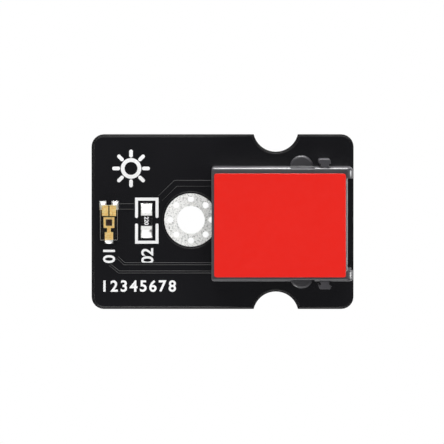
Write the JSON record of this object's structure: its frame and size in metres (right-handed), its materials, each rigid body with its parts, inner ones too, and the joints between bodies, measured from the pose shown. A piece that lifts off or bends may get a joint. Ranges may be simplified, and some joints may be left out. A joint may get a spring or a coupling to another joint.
{
  "type": "light sensor module",
  "caption": "Small black circuit board with a clear light sensor, a chip resistor, a plated mounting hole and a modular jack with a red top label.",
  "frame": {"origin": "centre of the board in X and Y, at the level of the pin tips and peg tips", "axes": "+X along the board towards the jack's mouth, +Z out of the component side of the board"},
  "size_m": [0.03, 0.02, 0.0157],
  "materials": {
    "black_mask": "satin solder mask over glass laminate",
    "black_moulding": "moulded, semi-gloss",
    "carrier_moulding": "moulded, matt",
    "tinned_copper": "tinned",
    "solder": "bright solder",
    "gold_plating": "gold flash",
    "red_film": "satin label film",
    "clear_epoxy": "clear moulded epoxy",
    "silicon_die": "polished silicon",
    "alumina": "fired ceramic",
    "resistor_coat": "glassy overcoat"
  },
  "bodies": {
    "root": {"circuit_board": "black_mask", "mounting_hole_plating": "tinned_copper", "pin_hole_plating_1": "tinned_copper", "pin_hole_plating_2": "tinned_copper", "pin_hole_plating_3": "tinned_copper", "pin_hole_plating_4": "tinned_copper", "pin_hole_plating_5": "tinned_copper", "pin_hole_plating_6": "tinned_copper", "jack_housing": "black_moulding", "jack_contact_carrier": "carrier_moulding", "jack_contact_1": "gold_plating", "jack_contact_2": "gold_plating", "jack_contact_3": "gold_plating", "jack_contact_4": "gold_plating", "jack_contact_5": "gold_plating", "jack_contact_6": "gold_plating", "jack_solder_joint_1": "solder", "jack_solder_joint_2": "solder", "jack_solder_joint_3": "solder", "jack_solder_joint_4": "solder", "jack_solder_joint_5": "solder", "jack_solder_joint_6": "solder", "jack_colour_label": "red_film", "sensor_package": "clear_epoxy", "sensor_collector_lead": "gold_plating", "sensor_emitter_lead_left": "gold_plating", "sensor_emitter_lead_right": "gold_plating", "sensor_die": "silicon_die", "sensor_bond_wire": "gold_plating", "sensor_land_left": "tinned_copper", "sensor_land_right": "tinned_copper", "sensor_land_lower": "tinned_copper", "sensor_solder_left": "solder", "sensor_solder_right": "solder", "sensor_solder_lower": "solder", "resistor_ceramic": "alumina", "resistor_overcoat": "resistor_coat", "resistor_terminal_upper": "tinned_copper", "resistor_terminal_lower": "tinned_copper", "resistor_land_upper": "tinned_copper", "resistor_land_lower": "tinned_copper", "resistor_solder_upper": "solder", "resistor_solder_lower": "solder"}
  },
  "joints": []
}
